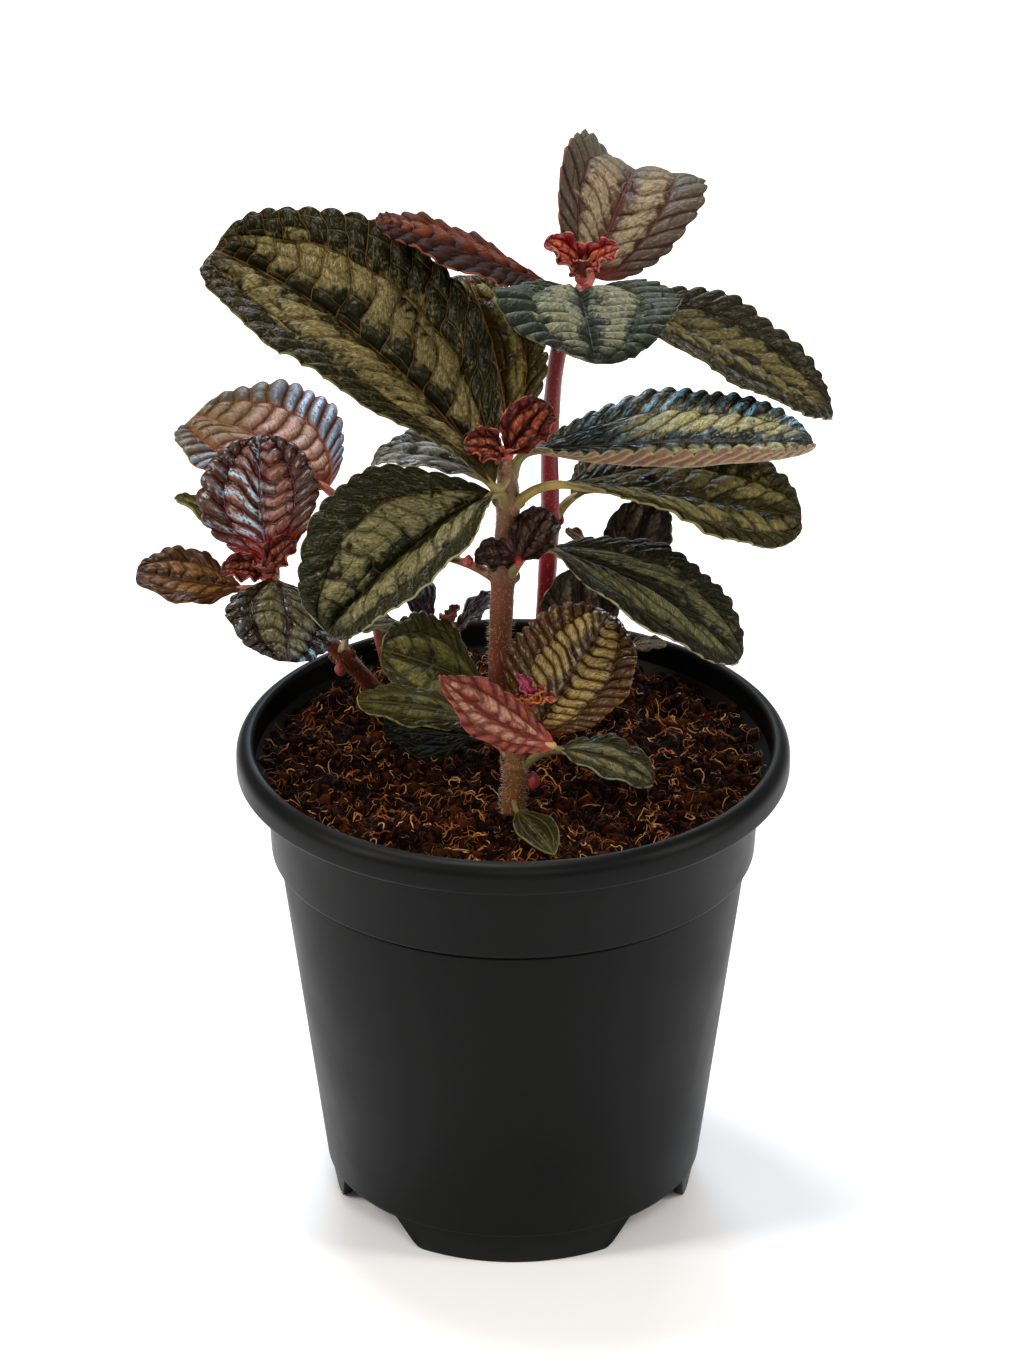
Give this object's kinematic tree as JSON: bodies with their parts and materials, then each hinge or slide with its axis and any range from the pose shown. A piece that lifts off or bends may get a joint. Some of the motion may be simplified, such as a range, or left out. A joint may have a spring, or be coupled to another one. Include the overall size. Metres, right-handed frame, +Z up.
{
  "type": "potted pilea spruceana",
  "caption": "Young foliage plant with quilted, wavy-edged dark leaves on several stems, growing in a black plastic nursery pot.",
  "frame": {"origin": "on the level that the pot's feet stand on, under the middle of the whole object's box; the pot's axis is 5.5 mm to its right, at x = +5.5 mm", "axes": "+Z up along the pot's axis, -Y towards the side that the plant faces, +X to its right"},
  "size_m": [0.1497, 0.12, 0.2309],
  "materials": {
    "olive": "quilted olive leaf, satin",
    "dark_green": "quilted dark green leaf with grey bands, satin",
    "bronze": "quilted bronze leaf, glossy",
    "pink": "pleated dusty rose leaf",
    "red": "crinkled red young leaf",
    "stem_green": "hairy tan stem",
    "stem_magenta": "smooth magenta stem",
    "stem_brown": "hairy red-brown stem",
    "soil": "damp peat with fibres, matte",
    "pot": "moulded black plastic, satin"
  },
  "bodies": {
    "root": {"bud_front": "red", "bud_left": "red", "bud_main": "red", "leaf_back_front": "dark_green", "leaf_back_left": "pink", "leaf_back_left_out": "bronze", "leaf_back_middle": "olive", "leaf_back_right": "olive", "leaf_back_up": "pink", "leaf_behind_left": "bronze", "leaf_behind_low": "olive", "leaf_behind_middle": "dark_green", "leaf_behind_right": "pink", "leaf_front_far_left": "olive", "leaf_front_left": "pink", "leaf_front_on_soil": "dark_green", "leaf_front_right": "dark_green", "leaf_front_up": "bronze", "leaf_inner_left": "dark_green", "leaf_inner_right": "dark_green", "leaf_left_back": "olive", "leaf_left_front": "bronze", "leaf_left_low": "dark_green", "leaf_left_out": "bronze", "leaf_left_up": "bronze", "leaf_main_back_left": "dark_green", "leaf_main_back_up": "olive", "leaf_main_foot_left": "olive", "leaf_main_foot_low": "olive", "leaf_main_foot_small": "olive", "leaf_main_lower_left": "dark_green", "leaf_main_lower_right": "dark_green", "leaf_main_middle_left": "bronze", "leaf_main_middle_right": "dark_green", "leaf_main_upper_left": "olive", "leaf_main_upper_right": "dark_green", "pot": "pot", "soil": "soil", "stem_back": "stem_magenta", "stem_backLeft": "stem_brown", "stem_backRight": "stem_brown", "stem_front": "stem_brown", "stem_inner": "stem_brown", "stem_left": "stem_brown", "stem_main": "stem_green", "young_leaves_axil": "dark_green", "young_leaves_back": "red", "young_leaves_front": "red", "young_leaves_inner": "red", "young_leaves_left": "red", "young_leaves_main": "red"}
  },
  "joints": []
}
